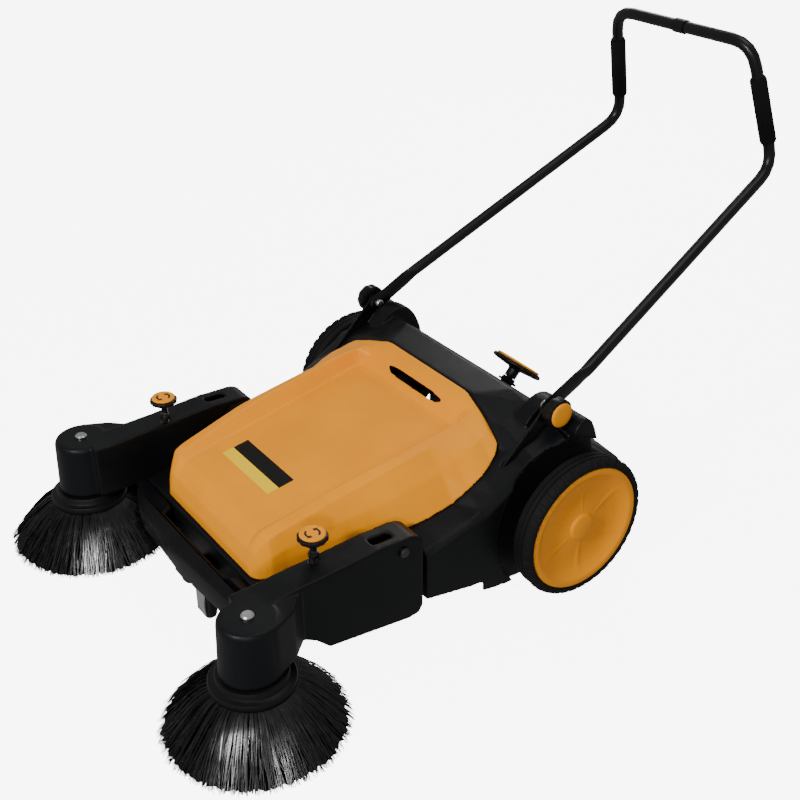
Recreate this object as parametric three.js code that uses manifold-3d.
import * as THREE from 'three';
import { mergeVertices } from 'three/addons/utils/BufferGeometryUtils.js';
import Module from 'manifold-3d';

const wasm = await Module();
wasm.setup();

// Walk-behind sweeper. Millimetres, +Z up, front towards -Y, operator's left towards +X.
// Every number below is in a frame whose origin lies under the machine; CENTRE_Y moves the
// finished pieces so that the origin is the middle of the footprint.
const CENTRE_Y = 84.8;

const GAP = 0.3;
const WALL = 4;

const AXLE = { y: 188.2, z: 132.3, radius: 8 };
const TYRE = { radius: 132.3, inner: 320, outer: 363.3, seat: 104 };
const RIM_RADIUS = 116.4;
const ROLLER = { y: 50, z: 90, core: 30, radius: 88.5, half: 245, shaft: 8 };
const GEAR = { x0: 262, x1: 274, big: 95.6, small: 47.8 };
const ARM = { x0: 246, x1: 302, pivotY: -152, pivotZ: 197 };
const BRUSH = { x: 307, y: -436, tip: 155, disc: 68.5 };
const LIFT = { x: 257, y: -291 };
const HANDLE = { x: 254.6, y: 181.6, z: 326.9, tube: 11, bend: 50, topY: 692.2, topZ: 843.6 };
const CASTER = { y: -378, trail: 40, radius: 25 };
const ADJUSTER = { y: 308, z: 217.6, tilt: -0.7 };

const MATERIALS = {
  orange: { color: 0xf0a005, roughness: 0.35, metalness: 0 },
  black: { color: 0x17181a, roughness: 0.55, metalness: 0 },
  rubber: { color: 0x141415, roughness: 0.85, metalness: 0 },
  foam: { color: 0x1c1c1e, roughness: 0.95, metalness: 0 },
  bristle: { color: 0x101011, roughness: 0.6, metalness: 0 },
  paint: { color: 0x151618, roughness: 0.35, metalness: 0 },
  steel: { color: 0xb8babc, roughness: 0.3, metalness: 1 },
};

const sweeper = new THREE.Group();
sweeper.name = 'walk_behind_sweeper';

// ---- shape helpers -------------------------------------------------------------------------

function signedVolume(geometry) {
  const position = geometry.getAttribute('position');
  const index = geometry.getIndex();
  const a = new THREE.Vector3();
  const b = new THREE.Vector3();
  const c = new THREE.Vector3();
  let volume = 0;
  for (let i = 0; i < index.count; i += 3) {
    a.fromBufferAttribute(position, index.getX(i));
    b.fromBufferAttribute(position, index.getX(i + 1));
    c.fromBufferAttribute(position, index.getX(i + 2));
    volume += a.dot(b.cross(c)) / 6;
  }
  return volume;
}

// A welded copy whose faces all point outwards.
function welded(geometry) {
  const plain = geometry.clone();
  plain.deleteAttribute('normal');
  plain.deleteAttribute('uv');
  const merged = mergeVertices(plain, 1e-3);
  if (signedVolume(merged) < 0) {
    const index = merged.getIndex();
    for (let i = 0; i < index.count; i += 3) {
      const second = index.getX(i + 1);
      index.setX(i + 1, index.getX(i + 2));
      index.setX(i + 2, second);
    }
  }
  return merged;
}

function toSolid(geometry) {
  const clean = welded(geometry);
  const mesh = new wasm.Mesh({
    numProp: 3,
    vertProperties: new Float32Array(clean.getAttribute('position').array),
    triVerts: new Uint32Array(clean.getIndex().array),
  });
  mesh.merge();
  return new wasm.Manifold(mesh);
}

function toGeometry(shape) {
  const mesh = shape.getMesh();
  const geometry = new THREE.BufferGeometry();
  geometry.setAttribute('position', new THREE.BufferAttribute(new Float32Array(mesh.vertProperties), 3));
  geometry.setIndex(new THREE.BufferAttribute(new Uint32Array(mesh.triVerts), 1));
  return geometry;
}

function join(first, ...rest) {
  return toGeometry(rest.reduce((whole, next) => whole.add(toSolid(next)), toSolid(first)));
}

function cut(first, ...tools) {
  return toGeometry(tools.reduce((whole, tool) => whole.subtract(toSolid(tool)), toSolid(first)));
}

function piece(name, finish, geometry) {
  const placed = welded(geometry);
  placed.translate(0, -CENTRE_Y, 0);
  placed.computeVertexNormals();
  const mesh = new THREE.Mesh(placed, new THREE.MeshStandardMaterial(MATERIALS[finish]));
  mesh.name = name;
  sweeper.add(mesh);
}

function mirrored(geometry) {
  return geometry.clone().scale(-1, 1, 1);
}

// The same piece on both sides of the machine.
function pair(name, finish, geometry) {
  piece(`${name}_left`, finish, geometry);
  piece(`${name}_right`, finish, mirrored(geometry));
}

function extruded(points, depth) {
  const shape = new THREE.Shape(points.map(([a, b]) => new THREE.Vector2(a, b)));
  return new THREE.ExtrudeGeometry(shape, { depth, bevelEnabled: false });
}

// A plan outline, (x, y) points, from z0 up to z1.
function plan(points, z0, z1) {
  return extruded(points, z1 - z0).translate(0, 0, z0);
}

// A side outline, (y, z) points, from x0 to x1.
function side(points, x0, x1) {
  const turn = new THREE.Matrix4().set(0, 0, 1, x0, 1, 0, 0, 0, 0, 1, 0, 0, 0, 0, 0, 1);
  return extruded(points, x1 - x0).applyMatrix4(turn);
}

function block(x0, x1, y0, y1, z0, z1) {
  const box = new THREE.BoxGeometry(x1 - x0, y1 - y0, z1 - z0);
  return box.translate((x0 + x1) / 2, (y0 + y1) / 2, (z0 + z1) / 2);
}

// A solid turned about the vertical axis from (radius, z) points.
function turned(profile, segments = 16) {
  const points = profile.map(([r, z]) => new THREE.Vector2(r, z));
  return new THREE.LatheGeometry(points, segments).rotateX(Math.PI / 2);
}

function rod(radius, z0, z1, segments = 12) {
  return turned([[0, z0], [radius, z0], [radius, z1], [0, z1]], segments);
}

// The same along X: profile points are (radius, x).
function turnedX(profile, y, z, segments = 16) {
  return turned(profile, segments).rotateY(Math.PI / 2).translate(0, y, z);
}

function rodX(radius, x0, x1, y, z, segments = 12) {
  return turnedX([[0, x0], [radius, x0], [radius, x1], [0, x1]], y, z, segments);
}

function ringTriangles(rings) {
  const size = rings[0].length;
  const positions = rings.flat().flatMap((p) => [p.x, p.y, p.z]);
  const index = [];
  for (let k = 0; k + 1 < rings.length; k += 1) {
    for (let i = 0; i < size; i += 1) {
      const a = k * size + i;
      const b = k * size + ((i + 1) % size);
      index.push(a, b, b + size, a, b + size, a + size);
    }
  }
  return { positions, index, size };
}

// A closed solid through rings of points; `flat` gives the 2-D points of a ring for its end cap.
function loft(rings, flat) {
  const { positions, index, size } = ringTriangles(rings);
  for (const k of [0, rings.length - 1]) {
    const outline = flat(rings[k]);
    const around = Math.sign(THREE.ShapeUtils.area(outline));
    for (const face of THREE.ShapeUtils.triangulateShape(outline.slice(), [])) {
      const way = Math.sign(THREE.ShapeUtils.area(face.map((corner) => outline[corner])));
      const [a, b, c] = way * around * (k === 0 ? -1 : 1) > 0 ? face : [face[0], face[2], face[1]];
      index.push(a + k * size, b + k * size, c + k * size);
    }
  }
  const geometry = new THREE.BufferGeometry();
  geometry.setAttribute('position', new THREE.Float32BufferAttribute(positions, 3));
  geometry.setIndex(index);
  return geometry;
}

// A solid through cross-sections along Y. Each section is [y, right half from top to bottom].
function hull(sections) {
  const rings = sections.map(([y, half]) => {
    const right = half.map(([x, z]) => new THREE.Vector3(x, y, z));
    const left = half.filter(([x]) => x > 0).reverse().map(([x, z]) => new THREE.Vector3(-x, y, z));
    return [...right, ...left];
  });
  return loft(rings, (ring) => ring.map((p) => new THREE.Vector2(p.x, p.z)));
}

// A round-cornered path through 3-D points.
function roundedPath(points, radius, steps = 4) {
  const path = [points[0]];
  for (let i = 1; i + 1 < points.length; i += 1) {
    const into = points[i].clone().sub(points[i - 1]).normalize();
    const out = points[i + 1].clone().sub(points[i]).normalize();
    const reach = radius * Math.tan(into.angleTo(out) / 2);
    const start = points[i].clone().addScaledVector(into, -reach);
    const end = points[i].clone().addScaledVector(out, reach);
    const bend = new THREE.QuadraticBezierCurve3(start, points[i], end);
    path.push(...bend.getPoints(steps));
  }
  path.push(points[points.length - 1]);
  return path;
}

// A bar along a path; section(distance) gives the half-thickness across and along the bend plane.
function bar(path, section, sides = 12) {
  let across = new THREE.Vector3(1, 0, 0);
  let walked = 0;
  const frames = path.map((point, i) => {
    const before = path[Math.max(i - 1, 0)];
    const after = path[Math.min(i + 1, path.length - 1)];
    const ahead = after.clone().sub(before).normalize();
    across = across.clone().addScaledVector(ahead, -across.dot(ahead)).normalize();
    if (i > 0) walked += point.distanceTo(before);
    return { point, across, upright: ahead.clone().cross(across), walked };
  });
  const rings = frames.map((frame) => {
    const [a, b] = section(frame.walked);
    return Array.from({ length: sides }, (_, k) => {
      const angle = (2 * Math.PI * (k + 0.5)) / sides;
      return frame.point.clone()
        .addScaledVector(frame.across, a * Math.cos(angle))
        .addScaledVector(frame.upright, b * Math.sin(angle));
    });
  });
  const circle = Array.from({ length: sides }, (_, k) => {
    const angle = (2 * Math.PI * (k + 0.5)) / sides;
    return new THREE.Vector2(Math.cos(angle), Math.sin(angle));
  });
  return loft(rings, () => circle);
}

// ---- body ----------------------------------------------------------------------------------

// Right half of the body, top middle to bottom edge, at stations from front to back.
const BODY = [
  [-352, [[150, 131], [215, 129], [228, 127], [237, 118], [237, 74]]],
  [-340, [[150, 134], [215, 131], [229, 129], [238, 120], [238, 72]]],
  [-294, [[150, 149], [178, 148], [229, 139], [238, 130], [238, 70]]],
  [-185, [[150, 169], [213, 168], [230, 162], [238, 150], [238, 68]]],
  [-107, [[150, 180], [230, 179], [235, 177], [238, 165], [238, 66]]],
];
const BODY_REAR = [
  [-104, [[150, 180], [240, 179], [288, 166], [300, 158], [300, 76]]],
  [-12, [[150, 199], [246, 198], [290, 189], [300, 182], [300, 60]]],
  [16, [[150, 219], [251, 218], [288, 200], [300, 190], [300, 57]]],
  [17, [[150, 219.5], [251, 218.5], [288, 200.5], [300, 190.5], [300, 38]]],
  [46, [[150, 240], [256, 237], [288, 219], [300, 207], [300, 33]]],
  [102, [[150, 303], [246, 262], [290, 252], [300, 241], [300, 28]]],
  [120, [[122, 313], [202, 290], [292, 264], [300, 253], [300, 28]]],
  [185, [[160, 318], [210, 311], [252, 296], [300, 284], [300, 28]]],
  [215, [[158, 295], [208, 290], [262, 280], [300, 266], [300, 28]]],
  [335, [[150, 194], [205, 192], [282, 184], [294, 174], [294, 40]]],
  [345, [[148, 182], [203, 180], [276, 172], [288, 160], [288, 60]]],
];

function shrunk(sections, frontInset, rearInset) {
  return sections.map(([y, half], i) => {
    const inset = i === 0 ? frontInset : i === sections.length - 1 ? -rearInset : 0;
    const inner = half.map(([x, z]) => [x - WALL, z - WALL]);
    inner[inner.length - 1][1] = 0;
    return [y + inset, inner];
  });
}

// Right half of the cover from the middle out: panel, crease, ridge, shoulder, lower edge.
const COVER = [
  [-346, [[0, 152], [118, 152], [130, 153], [138, 152], [144, 136]]],
  [-338, [[0, 178], [124, 178], [137, 182], [150, 180], [158, 134]]],
  [-319, [[0, 202], [127, 202], [141, 212], [164, 211], [172, 139.5]]],
  [-294, [[0, 208], [130, 208], [145, 222], [167, 220], [178, 150]]],
  [-185, [[0, 226], [136, 226], [155, 251], [176, 248], [213, 170]]],
  [-114, [[0, 238], [140, 238], [160, 266], [178, 261], [237, 181]]],
  [-12, [[0, 255], [146, 255], [163, 284], [178, 278], [246, 200]]],
  [46, [[0, 264], [152, 264], [164, 294], [177, 288], [254, 239.5]]],
  [72, [[0, 269], [150, 269], [160, 298], [175, 292], [245, 252]]],
  [96, [[0, 304], [118, 304], [150, 303], [174, 297], [230, 271]]],
  [117, [[0, 315.5], [110, 315.5], [119, 315], [121, 314], [123, 312]]],
];

// A side of the cover swells a little between its shoulder and its lower edge.
function swollen(half) {
  const [shoulder, edge] = half.slice(-2);
  const across = new THREE.Vector2(edge[0] - shoulder[0], edge[1] - shoulder[1]);
  const swell = Math.min(7, across.length() * 0.09);
  const out = new THREE.Vector2(-across.y, across.x).normalize().multiplyScalar(swell);
  const flank = [shoulder[0] + across.x * 0.45 + out.x, shoulder[1] + across.y * 0.45 + out.y];
  return [...half.slice(0, -1), flank, edge];
}

// Extra stations between the given ones, on smooth curves through them.
function smoothed(sections, steps) {
  const curves = sections[0][1].map((_, j) => new THREE.CatmullRomCurve3(
    sections.map(([y, half]) => new THREE.Vector3(half[j][0], y, half[j][1])), false, 'centripetal'));
  const stations = (sections.length - 1) * steps;
  return Array.from({ length: stations + 1 }, (_, k) => {
    const [low, t] = [Math.floor(k / steps), (k % steps) / steps];
    const next = Math.min(low + 1, sections.length - 1);
    const y = sections[low][0] * (1 - t) + sections[next][0] * t;
    return [y, curves.map((curve) => {
      const point = curve.getPoint(k / stations);
      return [Math.max(point.x, 0), point.z];
    })];
  });
}

const COVER_STATIONS = smoothed(COVER.map(([y, half]) => [y, swollen(half)]), 2);

// The cover's own outline with a little room round it.
function grown(sections, room) {
  return sections.map(([y, half], i) => {
    const shift = i === 0 ? -room : i === sections.length - 1 ? room : 0;
    const last = half.length - 1;
    const wider = half.map(([x, z], j) => [x > 0 ? x + room : 0, j === last ? z - room : z + room]);
    return [y + shift, wider];
  });
}

// The opening that the hopper drops through.
const WELL = [
  [128, -336], [160, -300], [198, -185], [222, -112], [232, -12], [236, 46], [206, 96], [118, 114],
];

function wellPlan(inset) {
  const right = WELL.map(([x, y]) => [x - inset, y]);
  const left = right.slice().reverse().map(([x, y]) => [-x, y]);
  return [...right, ...left];
}

const STRAP = { x0: 259, x1: 263, lowY: 66, lowZ: 214, half: 14 };

function capsule(y0, z0, y1, z1, radius, steps = 4) {
  const angle = Math.atan2(z1 - z0, y1 - y0);
  const points = [];
  for (let i = 0; i <= steps; i += 1) {
    const a = angle - Math.PI / 2 + (Math.PI * i) / steps;
    points.push([y1 + radius * Math.cos(a), z1 + radius * Math.sin(a)]);
  }
  for (let i = 0; i <= steps; i += 1) {
    const a = angle + Math.PI / 2 + (Math.PI * i) / steps;
    points.push([y0 + radius * Math.cos(a), z0 + radius * Math.sin(a)]);
  }
  return points;
}

function bothSides(geometry) {
  return join(geometry, mirrored(geometry));
}

function bodyShell() {
  const outer = join(hull(BODY), block(-237, 237, -107.5, -103.5, 78, 160), hull(BODY_REAR));
  const bulges = bothSides(join(
    side([[202, 200], [202, 290], [206, 300], [214, 308], [224, 311], [233, 309], [241, 302],
      [250, 282], [262, 240], [275, 150], [255, 120], [225, 120]], 230, 306),
    side([[148, 250], [148, 296], [160, 309], [174, 319], [190, 326], [204, 328], [217, 325],
      [229, 317], [240, 303], [250, 282], [262, 240], [262, 200]], 206, 240),
  ));
  const bulgeRoom = bothSides(join(
    side([[206, 190], [206, 288], [216, 303], [226, 306], [236, 299], [257, 238], [269, 150],
      [255, 110], [225, 110]], 226, 286),
    side([[153, 240], [153, 294], [163, 304], [176, 314], [204, 323], [214, 321], [226, 313],
      [236, 299], [257, 238], [250, 190]], 210, 236),
  ));
  const front = hull(shrunk(BODY, WALL, -11));
  const rear = hull(shrunk(BODY_REAR, WALL, WALL));
  const arch = bothSides(rodX(146, 290, 320, AXLE.y, AXLE.z, 24));
  const archWall = bothSides(side(arcPoints(AXLE.y, AXLE.z, 150, 24), 284, 300));
  const hollow = toSolid(front).add(toSolid(rear)).add(toSolid(bulgeRoom));
  let shell = toSolid(outer).add(toSolid(bulges)).subtract(hollow);
  shell = shell.add(toSolid(archWall).intersect(toSolid(outer))).subtract(toSolid(arch));
  const holes = [
    plan(wellPlan(0), 60, 400),
    hull(grown(COVER_STATIONS, 1.6)),
    hull(grown(COVER_STATIONS, 1.6)).translate(0, 3, 4),
    rodX(18, 270, 312, AXLE.y, AXLE.z, 20),
    rodX(18, -312, -270, AXLE.y, AXLE.z, 20),
    bothSides(side(capsule(STRAP.lowY, STRAP.lowZ, HANDLE.y, HANDLE.z, STRAP.half + 1),
      STRAP.x0 - 1, STRAP.x1 + 1)),
    adjusterFrame(rod(13, -40, 60, 16)),
  ];
  for (const hole of holes) shell = shell.subtract(toSolid(hole));
  return largest(shell);
}

// The biggest of the separate bodies a shape falls into.
function largest(shape) {
  const bodies = shape.decompose();
  return toGeometry(bodies.reduce((best, next) => (next.volume() > best.volume() ? next : best)));
}

function arcPoints(y, z, radius, steps = 36) {
  return Array.from({ length: steps }, (_, i) => {
    const angle = (2 * Math.PI * i) / steps;
    return [y + radius * Math.cos(angle), z + radius * Math.sin(angle)];
  });
}

// Shapes drawn about the vertical are tipped onto the tilted axis of the main brush adjuster.
function adjusterFrame(geometry) {
  return geometry.rotateX(ADJUSTER.tilt).translate(0, ADJUSTER.y, ADJUSTER.z);
}

function frontBar() {
  const outline = [[-236, -352.6], [-236, -366], [-205, -385], [-152, -399], [0, -408],
    [152, -399], [205, -385], [236, -366], [236, -352.6], [122, -352.6], [110, -374],
    [-110, -374], [-122, -352.6]];
  return plan(outline, 79, 127);
}

function axleBearing() {
  return turnedX([[8.6, 276], [26, 276], [26, 283.6], [8.6, 283.6], [8.6, 276]], AXLE.y, AXLE.z);
}

piece('body_shell', 'black', bodyShell());
piece('front_bar', 'black', frontBar());
piece('axle', 'steel', rodX(AXLE.radius, -351, 351, AXLE.y, AXLE.z));
piece('axle_bearing_right', 'black', mirrored(axleBearing()));
pair('handle_bracket', 'steel', cut(
  side(capsule(STRAP.lowY, STRAP.lowZ, HANDLE.y, HANDLE.z, STRAP.half), STRAP.x0, STRAP.x1),
  rodX(4.6, 250, 270, HANDLE.y, HANDLE.z, 12),
));
// Steel cheek on the side of the body that the arm's pivot bolt runs through.
pair('arm_mount', 'steel', cut(
  side([[-184, 92], [-122, 92], [-122, 190], [-138, 212], [-166, 212], [-184, 190]], 238.4, 243),
  rodX(5.4, 230, 250, ARM.pivotY, ARM.pivotZ, 12),
));
piece('rear_skirt', 'rubber', block(-284, 284, 336, 340.4, 14, 74));

// ---- hopper --------------------------------------------------------------------------------

function hopperCover() {
  const outer = hull(COVER_STATIONS);
  const inner = hull(COVER_STATIONS.slice(1, -1).map(([y, half], i, all) => {
    const shift = i === 0 ? 3 : i === all.length - 1 ? -1 : 0;
    const inwards = [0, -2, -2, 3, 3.6, 3];
    const section = half.map(([x, z], j) => [x - inwards[j], z - WALL - (j === 5 ? 30 : 0)]);
    return [y + shift, section];
  }));
  const slotOutline = [[-84, 0], [-70, 7], [-50, 9], [50, 9], [70, 7], [84, 0], [50, -4], [-50, -4]];
  const slot = plan(slotOutline, 0, 60).rotateX(-Math.PI / 2).translate(0, 60, 290);
  const shell = toSolid(outer).subtract(toSolid(inner));
  return largest(shell.subtract(toSolid(slot)));
}

// The dust bin hangs under the cover; its back is open towards the main brush.
function hopperBin() {
  const outerPlan = [[110, -330], [152, -300], [190, -185], [214, -108], [218, -52]];
  const ringPlan = (inset, back) => {
    const right = outerPlan.map(([x, y], i) => [x - inset, i === 0 ? y + inset : y]);
    right[right.length - 1][1] += back;
    const left = right.slice().reverse().map(([x, y]) => [-x, y]);
    return [...right, ...left];
  };
  const outer = toSolid(plan(ringPlan(0, 0), 80, 205));
  const inner = toSolid(plan(ringPlan(3, 12), 83, 230));
  const slope = toSolid(side([[-400, 136], [-330, 136], [-319, 146], [-294, 156], [-185, 166],
    [-114, 176], [-40, 190], [-40, 400], [-400, 400]], -260, 260));
  return toGeometry(outer.subtract(inner).subtract(slope));
}

piece('hopper_cover', 'orange', hopperCover());
piece('hopper_bin', 'black', hopperBin());

// ---- handle --------------------------------------------------------------------------------

const TUBE_CORNERS = [
  new THREE.Vector3(HANDLE.x, HANDLE.y - 14.3, HANDLE.z - 7.2),
  new THREE.Vector3(HANDLE.x, HANDLE.y + 84.8, HANDLE.z + 42.8),
  new THREE.Vector3(197.9, 758.4, 618.1),
  new THREE.Vector3(167.3, HANDLE.topY, HANDLE.topZ),
  new THREE.Vector3(GAP / 2, HANDLE.topY, HANDLE.topZ),
];

// The lower end of the tube is pressed flat and rounded off.
function tubeSection(radius, walked) {
  const press = THREE.MathUtils.smoothstep(walked, 92, 118);
  const end = Math.sqrt(Math.max(0.12, 1 - Math.max(0, 16 - walked) ** 2 / 256));
  return [4 + (radius - 4) * press, (15.5 + (radius - 15.5) * press) * end];
}

function flatEndPath(corners) {
  const path = roundedPath(corners, HANDLE.bend);
  const ahead = corners[1].clone().sub(corners[0]).normalize();
  const extra = [4, 9, 16, 90].map((s) => corners[0].clone().addScaledVector(ahead, s));
  const beyond = corners[2].clone().sub(corners[1]).normalize();
  const neck = [6, 24].map((s) => corners[1].clone().addScaledVector(beyond, s));
  const kept = path.filter((p) => p.distanceTo(corners[0]) > 130);
  return [corners[0], ...extra, corners[1], ...neck, ...kept];
}

function handleTube() {
  const path = flatEndPath(TUBE_CORNERS);
  const outer = bar(path, (walked) => tubeSection(HANDLE.tube, walked));
  const bore = bar(path.slice(8), () => [HANDLE.tube - 2.4, HANDLE.tube - 2.4], 6);
  const open = rodX(HANDLE.tube - 2, -2, 6, HANDLE.topY, HANDLE.topZ, 12);
  return cut(outer, bore, open, rodX(4.6, 240, 270, HANDLE.y, HANDLE.z, 12));
}

function grip() {
  const from = TUBE_CORNERS[3];
  const to = TUBE_CORNERS[2];
  const along = to.clone().sub(from);
  const length = along.length() * 0.53;
  const inner = HANDLE.tube + GAP;
  const sleeve = turned([[inner, 0], [13.6, 0], [15, 4], [15, length - 4], [13.6, length],
    [inner, length], [inner, 0]], 16);
  const up = new THREE.Vector3(0, 0, 1);
  const turn = new THREE.Quaternion().setFromUnitVectors(up, along.clone().normalize());
  const start = from.clone().addScaledVector(along, 0.265);
  return sleeve.applyQuaternion(turn).translate(start.x, start.y, start.z);
}

function collar() {
  const inner = HANDLE.tube + GAP;
  return turnedX([[inner, -13], [13, -13], [13, 13], [inner, 13], [inner, -13]],
    HANDLE.topY, HANDLE.topZ, 20);
}

function clampBolt() {
  return turnedX([[0, 243], [6, 243], [8, 245], [8, 250.2], [4, 250.2], [4, 280], [0, 280]],
    HANDLE.y, HANDLE.z, 16);
}

function clampKnob() {
  return turnedX([[0, 281], [4.4, 281], [4.4, 263.4], [13, 263.4], [13, 268], [24, 268], [27, 271],
    [27, 285], [24, 289], [0, 289]], HANDLE.y, HANDLE.z, 20);
}

function clampCap() {
  return turnedX([[0, 289.3], [22, 289.3], [22, 291.6], [18, 293.2], [0, 294]], HANDLE.y, HANDLE.z, 20);
}

pair('handle_tube', 'paint', handleTube());
pair('grip', 'foam', grip());
piece('handle_collar', 'black', collar());
pair('clamp_bolt', 'steel', clampBolt());
pair('clamp_knob', 'black', clampKnob());
pair('clamp_cap', 'orange', clampCap());

// ---- wheels and main brush -----------------------------------------------------------------

function tyre() {
  const { radius, inner, outer, seat } = TYRE;
  return turnedX([[seat, inner + 4], [RIM_RADIUS - 4, inner], [radius - 8, inner], [radius, inner + 6],
    [radius, outer - 7], [radius - 7, outer], [RIM_RADIUS + 0.6, outer], [RIM_RADIUS + 0.6, outer - 8.4],
    [seat, outer - 11], [seat, inner + 4]], AXLE.y, AXLE.z, 24);
}

function rim() {
  const seat = TYRE.seat - GAP;
  return turnedX([[0, 356], [25, 356], [27, 351], [60, 346], [90, 352], [105, 361.4],
    [RIM_RADIUS, 361.4], [RIM_RADIUS, 355.8], [seat, 353.4], [seat, 326], [98, 326], [98, 345],
    [60, 340], [20, 340], [20, 318], [8.6, 318], [8.6, 351.4], [0, 351.4]],
  AXLE.y, AXLE.z, 24);
}

function driveGear() {
  const { x0, x1, big } = GEAR;
  return turnedX([[8.6, x0], [24, x0], [24, x0 + 3], [84, x0 + 3], [84, x0], [big, x0], [big, x1],
    [84, x1], [16, x1], [16, 317.6], [8.6, 317.6], [8.6, x0]], AXLE.y, AXLE.z, 24);
}

function spacer() {
  return turnedX([[8.6, 284], [16, 284], [16, 317.6], [8.6, 317.6], [8.6, 284]], AXLE.y, AXLE.z, 20);
}

function rollerCore() {
  const { half, core, shaft } = ROLLER;
  return turnedX([[0, -262], [shaft, -262], [shaft, -half], [core, -half], [core, half],
    [shaft, half], [shaft, 276], [0, 276]], ROLLER.y, ROLLER.z, 16);
}

// Twisted rows of bristles: a six-pointed section wound along the core.
function rollerBristles() {
  const points = 12;
  const rings = Array.from({ length: 9 }, (_, k) => {
    const t = k / 8;
    const x = (2 * t - 1) * (ROLLER.half - 3);
    return Array.from({ length: points }, (__, i) => {
      const radius = i % 2 ? 62 : ROLLER.radius;
      const angle = (2 * Math.PI * i) / points + (t - 0.5) * Math.PI * 0.66 + Math.PI / 6;
      const [y, z] = [radius * Math.cos(angle), radius * Math.sin(angle)];
      return new THREE.Vector3(x, ROLLER.y + y, ROLLER.z + z);
    });
  });
  const star = loft(rings, (ring) => ring.map((p) => new THREE.Vector2(p.y, p.z)));
  return cut(star, rodX(ROLLER.core + 1, -260, 260, ROLLER.y, ROLLER.z, 16));
}

function rollerPinion() {
  const { x0, x1, small } = GEAR;
  return turnedX([[8.4, x0], [small, x0], [small, x1], [8.4, x1], [8.4, x0]], ROLLER.y, ROLLER.z, 20);
}

function carrier() {
  const rearY = 262;
  const rearZ = 150;
  const plate = join(
    side(capsule(ROLLER.y, ROLLER.z, AXLE.y, AXLE.z, 18), 250, 256),
    side(capsule(AXLE.y, AXLE.z, rearY, rearZ, 16), 250, 256),
  );
  return cut(
    join(plate, mirrored(plate), rodX(8, -253, 253, rearY, rearZ, 16)),
    rodX(8.5, -270, 270, ROLLER.y, ROLLER.z, 20),
    rodX(8.6, -270, 270, AXLE.y, AXLE.z, 20),
  );
}

pair('tyre', 'rubber', tyre());
pair('rim', 'orange', rim());
piece('drive_gear_left', 'black', driveGear());
piece('hub_spacer_right', 'black', mirrored(spacer()));
piece('brush_carrier', 'steel', carrier());
piece('main_brush_core', 'black', rollerCore());
piece('main_brush_bristles', 'bristle', rollerBristles());
piece('main_brush_pinion', 'black', rollerPinion());

// ---- main brush adjuster -------------------------------------------------------------------

piece('adjuster_guide', 'black', adjusterFrame(turned([[7.4, -6], [12.6, -6], [12.6, 1], [19, 1],
  [19, 6], [14, 6], [13, 12], [7.4, 12], [7.4, -6]], 16)));
piece('adjuster_wheel', 'black', adjusterFrame(turned([[0, -52], [7, -52], [7, 12.4], [12, 12.4],
  [12, 30], [46, 33], [52.5, 36], [52.5, 41], [49, 43], [0, 43]], 20)));
piece('adjuster_cap', 'orange', adjusterFrame(turned([[0, 43.3], [46, 43.3], [46, 46], [43, 47.4],
  [0, 47.4]], 20)));

// ---- caster --------------------------------------------------------------------------------

piece('caster_plate', 'black', cut(
  block(-24, 24, -403, -353, 70, 78.7),
  rod(6.5, 60, 90, 12).translate(0, CASTER.y, 0),
));

function casterFork() {
  const legs = [1, -1].map((way) => block(24, 52, way * 10.4 - 1.4, way * 10.4 + 1.4, 12, 60));
  const bridge = block(8, 52, -11.8, 11.8, 52.4, 60.2);
  const body = join(rod(22, 60, 69.7, 20), rod(6, 60, 77, 12), bridge, ...legs);
  const pin = rod(3, -11.8, 11.8, 12).rotateX(Math.PI / 2).translate(CASTER.trail, 0, CASTER.radius);
  return join(body, pin).translate(0, CASTER.y, 0);
}
piece('caster_fork', 'steel', casterFork());
piece('caster_wheel', 'rubber', turned([[3.3, -7.6], [22, -7.6], [25, -4.6], [25, 4.6], [22, 7.6],
  [3.3, 7.6], [3.3, -7.6]], 16).rotateX(Math.PI / 2).translate(CASTER.trail, CASTER.y, CASTER.radius));

// ---- side brush arms -----------------------------------------------------------------------

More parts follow.
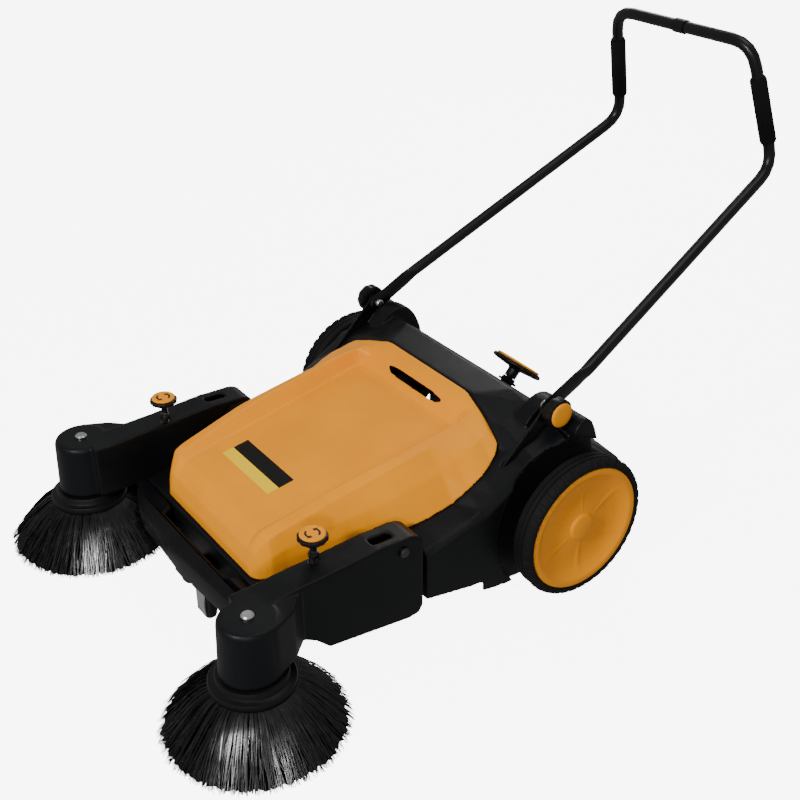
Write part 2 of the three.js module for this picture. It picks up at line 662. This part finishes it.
function arm() {
  const outline = [[-112, 70], [-112, 192], [-114, 204], [-121, 213], [-134, 219], [-200, 221],
    [-300, 214], [-350, 212], [-400, 208], [-436, 208], [-436, 110], [-352, 110], [-338, 108],
    [-318, 96], [-294, 72], [-140, 55], [-120, 58]];
  const beam = side(outline, ARM.x0, ARM.x1);
  const housing = turned([[0, 110], [51.5, 110], [50.5, 130], [48, 202], [44, 208], [0, 208]], 32);
  housing.translate(BRUSH.x, BRUSH.y, 0);
  const flare = plan([[262, -340], [302, -340], [333, -372], [352, -412], [355, -434], [262, -434]],
    112, 206);
  const hollow = side([[-118, 30], [-118, 190], [-126, 212], [-200, 215], [-376, 204], [-376, 96],
    [-376, 30]], ARM.x0 + 5, ARM.x1 - 5);
  return cut(
    join(beam, housing, flare),
    hollow,
    block(268, 284, -200, -160, 205, 240),
    rodX(5.3, 235, 315, ARM.pivotY, ARM.pivotZ, 14),
    rod(6.6, 180, 240, 16).translate(LIFT.x, LIFT.y, 0),
    rod(9, 100, 202, 20).translate(BRUSH.x, BRUSH.y, 0),
    rod(6.4, 200, 220, 16).translate(BRUSH.x, BRUSH.y, 0),
  );
}

pair('arm', 'black', arm());
pair('pivot_bolt', 'steel', turnedX([[0, 235], [5, 235], [5, 302.3], [9, 302.3], [9, 306],
  [6.5, 308], [0, 308]], ARM.pivotY, ARM.pivotZ, 16));

function sideBrush(profile, segments = 20) {
  return turned(profile, segments).translate(BRUSH.x, BRUSH.y, 0);
}

pair('brush_disc', 'black', sideBrush([[8.3, 82.4], [BRUSH.disc - 4, 82.4], [BRUSH.disc, 86],
  [BRUSH.disc, 94], [58, 96], [56, 107], [8.3, 107], [8.3, 82.4]]));
pair('brush_bristles', 'bristle', sideBrush([[28, 82], [70, 50], [112, 0], [BRUSH.tip, 0], [146, 26],
  [112, 62], [66, 82], [28, 82]]));
pair('brush_shaft', 'steel', sideBrush([[0, 82.6], [8, 82.6], [8, 201.6], [6, 201.6], [6, 208.3],
  [10.5, 208.3], [10.5, 211], [8, 213.4], [0, 213.4]], 16));

// ---- lift knobs ----------------------------------------------------------------------------

function liftShape(profile, segments = 16) {
  return turned(profile, segments).translate(LIFT.x, LIFT.y, 0);
}

pair('lift_screw', 'steel', liftShape([[0, 170], [6, 170], [6, 222.4], [9, 222.4], [9, 232],
  [6, 232], [6, 246], [0, 246]], 16));
pair('lift_knob', 'black', liftShape([[0, 246.4], [9, 246.4], [10, 252], [23, 254.5], [25, 257],
  [25, 262], [23, 263.6], [0, 263.6]]));
pair('lift_cap', 'orange', liftShape([[0, 263.9], [21, 263.9], [21, 266], [19.5, 267.2], [0, 267.2]]));

export default sweeper;
